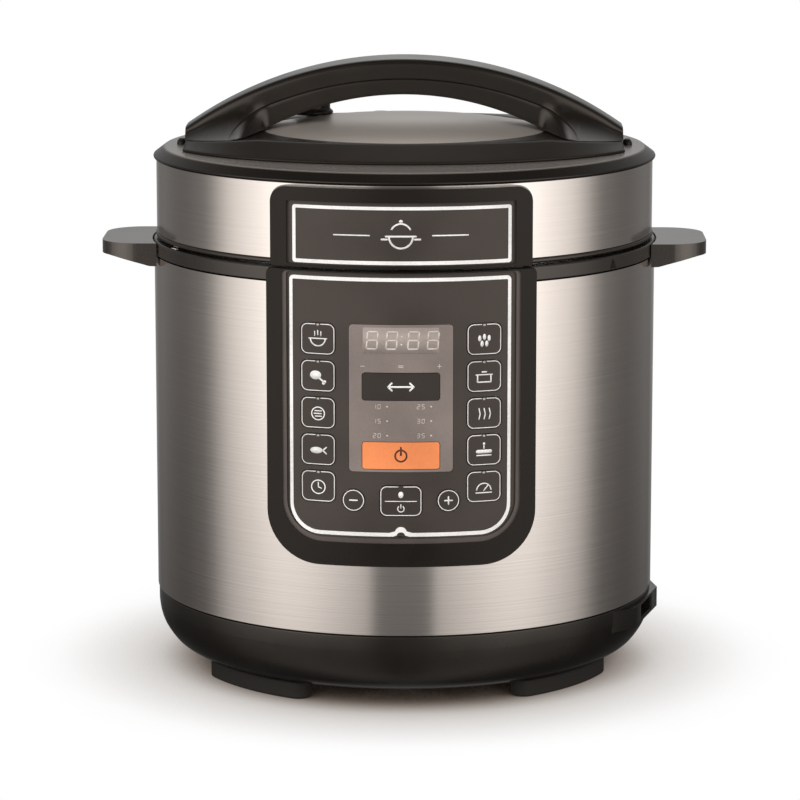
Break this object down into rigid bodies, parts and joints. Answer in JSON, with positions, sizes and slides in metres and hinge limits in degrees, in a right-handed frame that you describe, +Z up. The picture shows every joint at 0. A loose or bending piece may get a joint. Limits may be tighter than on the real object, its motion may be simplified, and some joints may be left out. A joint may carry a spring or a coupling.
{
  "type": "electric pressure cooker",
  "caption": "Countertop electric pressure cooker with a turning lid, lift-out pot, curved key panel, steam release valve and condensation cup.",
  "frame": {"origin": "on the resting plane under the feet, below the middle of the whole cooker's box", "axes": "+Z up, -Y towards the control panel, +X to the panel's right"},
  "size_m": [0.3244, 0.3004, 0.3289],
  "materials": {
    "steel": "brushed",
    "inner_steel": "satin",
    "aluminium": "cast",
    "black_plastic": "fine satin",
    "satin_plastic": "satin",
    "panel_plastic": "printed film",
    "display_plastic": "printed film",
    "key_plastic": "printed film",
    "orange_plastic": "printed film",
    "rubber": "matte",
    "silicone": "translucent",
    "clear_plastic": "clear",
    "circuit_board": "resist",
    "brass": "plain brass"
  },
  "bodies": {
    "housing": {"base_ring": "black_plastic", "bottom_plate": "steel", "foot_front_left": "rubber", "foot_front_right": "rubber", "foot_rear_left": "rubber", "foot_rear_right": "rubber", "outer_shell": "steel", "housing_collar": "black_plastic", "side_handle_left": "satin_plastic", "side_handle_right": "satin_plastic", "outer_pot": "inner_steel", "heating_plate": "aluminium", "sensor_bracket": "steel", "sensor_spring": "steel", "pressure_switch": "satin_plastic", "power_board": "circuit_board", "control_board": "circuit_board", "panel_bezel": "satin_plastic", "panel_face": "panel_plastic", "display_window": "display_plastic", "inlet_housing": "black_plastic", "inlet_socket": "satin_plastic", "inlet_contacts": "brass", "cup_bracket": "black_plastic"},
    "seal": {"sealing_ring": "silicone"},
    "lid": {"lid_plate": "inner_steel", "lid_lower_rim": "black_plastic", "lid_skirt": "steel", "lid_top_rim": "black_plastic", "lid_cover": "black_plastic", "lid_dome": "steel", "lid_handle": "satin_plastic", "handle_grip": "satin_plastic", "seal_support_ring": "steel", "anti_block_shield": "steel", "vent_pipe": "steel", "upper_bezel": "satin_plastic", "name_plate": "panel_plastic"},
    "pot": {"inner_pot": "inner_steel"},
    "release_valve": {"pressure_release_valve": "black_plastic"},
    "float": {"float_valve": "steel", "float_seal": "silicone"},
    "sensor": {"sensor_plunger": "aluminium"},
    "cup": {"condensation_cup": "clear_plastic"},
    "key_select": {"key_select": "key_plastic"},
    "key_cook": {"key_cook": "orange_plastic"},
    "key_less": {"key_less": "key_plastic"},
    "key_more": {"key_more": "key_plastic"},
    "key_keep_warm": {"key_keep_warm": "key_plastic"},
    "key_left_1": {"key_left_1": "key_plastic"},
    "key_right_1": {"key_right_1": "key_plastic"},
    "key_left_2": {"key_left_2": "key_plastic"},
    "key_right_2": {"key_right_2": "key_plastic"},
    "key_left_3": {"key_left_3": "key_plastic"},
    "key_right_3": {"key_right_3": "key_plastic"},
    "key_left_4": {"key_left_4": "key_plastic"},
    "key_right_4": {"key_right_4": "key_plastic"},
    "key_left_5": {"key_left_5": "key_plastic"},
    "key_right_5": {"key_right_5": "key_plastic"}
  },
  "joints": [
    {"name": "lid_lift", "type": "slide", "parent": "housing", "child": "seal", "axis": [0, 0, 1], "range_m": [0, 0.38]},
    {"name": "lid_turn", "type": "hinge", "parent": "seal", "child": "lid", "pos_m": [0, -0.01, 0.24], "axis": [0, 0, 1], "range_deg": [0, 30]},
    {"name": "pot_lift", "type": "slide", "parent": "housing", "child": "pot", "axis": [0, 0, 1], "range_m": [0, 0.19]},
    {"name": "release_valve_turn", "type": "hinge", "parent": "lid", "child": "release_valve", "pos_m": [-0.051, 0.026, 0.3], "axis": [0, 0, 1], "range_deg": [0, 40]},
    {"name": "float_valve_rise", "type": "slide", "parent": "lid", "child": "float", "axis": [0, 0, 1], "range_m": [0, 0.0045]},
    {"name": "sensor_press", "type": "slide", "parent": "housing", "child": "sensor", "axis": [0, 0, -1], "range_m": [0, 0.002], "stiffness_N_per_m": 600, "springref_m": -0.001, "deforming": ["sensor_spring"]},
    {"name": "cup_pull", "type": "slide", "parent": "housing", "child": "cup", "axis": [0, 1, 0], "range_m": [0, 0.06]},
    {"name": "key_select_press", "type": "slide", "parent": "housing", "child": "key_select", "axis": [0, 1, 0], "range_m": [0, 0.0006], "stiffness_N_per_m": 1500},
    {"name": "key_cook_press", "type": "slide", "parent": "housing", "child": "key_cook", "axis": [0, 1, 0], "range_m": [0, 0.0006], "stiffness_N_per_m": 1500},
    {"name": "key_less_press", "type": "slide", "parent": "housing", "child": "key_less", "axis": [0.1767, 0.9843, 0], "range_m": [0, 0.0006], "stiffness_N_per_m": 1500},
    {"name": "key_more_press", "type": "slide", "parent": "housing", "child": "key_more", "axis": [-0.1767, 0.9843, 0], "range_m": [0, 0.0006], "stiffness_N_per_m": 1500},
    {"name": "key_keep_warm_press", "type": "slide", "parent": "housing", "child": "key_keep_warm", "axis": [0, 1, 0], "range_m": [0, 0.0006], "stiffness_N_per_m": 1500},
    {"name": "key_left_1_press", "type": "slide", "parent": "housing", "child": "key_left_1", "axis": [0.308, 0.9514, 0], "range_m": [0, 0.0006], "stiffness_N_per_m": 1500},
    {"name": "key_right_1_press", "type": "slide", "parent": "housing", "child": "key_right_1", "axis": [-0.308, 0.9514, 0], "range_m": [0, 0.0006], "stiffness_N_per_m": 1500},
    {"name": "key_left_2_press", "type": "slide", "parent": "housing", "child": "key_left_2", "axis": [0.308, 0.9514, 0], "range_m": [0, 0.0006], "stiffness_N_per_m": 1500},
    {"name": "key_right_2_press", "type": "slide", "parent": "housing", "child": "key_right_2", "axis": [-0.308, 0.9514, 0], "range_m": [0, 0.0006], "stiffness_N_per_m": 1500},
    {"name": "key_left_3_press", "type": "slide", "parent": "housing", "child": "key_left_3", "axis": [0.308, 0.9514, 0], "range_m": [0, 0.0006], "stiffness_N_per_m": 1500},
    {"name": "key_right_3_press", "type": "slide", "parent": "housing", "child": "key_right_3", "axis": [-0.308, 0.9514, 0], "range_m": [0, 0.0006], "stiffness_N_per_m": 1500},
    {"name": "key_left_4_press", "type": "slide", "parent": "housing", "child": "key_left_4", "axis": [0.308, 0.9514, 0], "range_m": [0, 0.0006], "stiffness_N_per_m": 1500},
    {"name": "key_right_4_press", "type": "slide", "parent": "housing", "child": "key_right_4", "axis": [-0.308, 0.9514, 0], "range_m": [0, 0.0006], "stiffness_N_per_m": 1500},
    {"name": "key_left_5_press", "type": "slide", "parent": "housing", "child": "key_left_5", "axis": [0.308, 0.9514, 0], "range_m": [0, 0.0006], "stiffness_N_per_m": 1500},
    {"name": "key_right_5_press", "type": "slide", "parent": "housing", "child": "key_right_5", "axis": [-0.308, 0.9514, 0], "range_m": [0, 0.0006], "stiffness_N_per_m": 1500}
  ],
  "couplings": [
    {"joint": "pot_lift", "follows": "lid_lift", "ratio": 0.5}
  ]
}
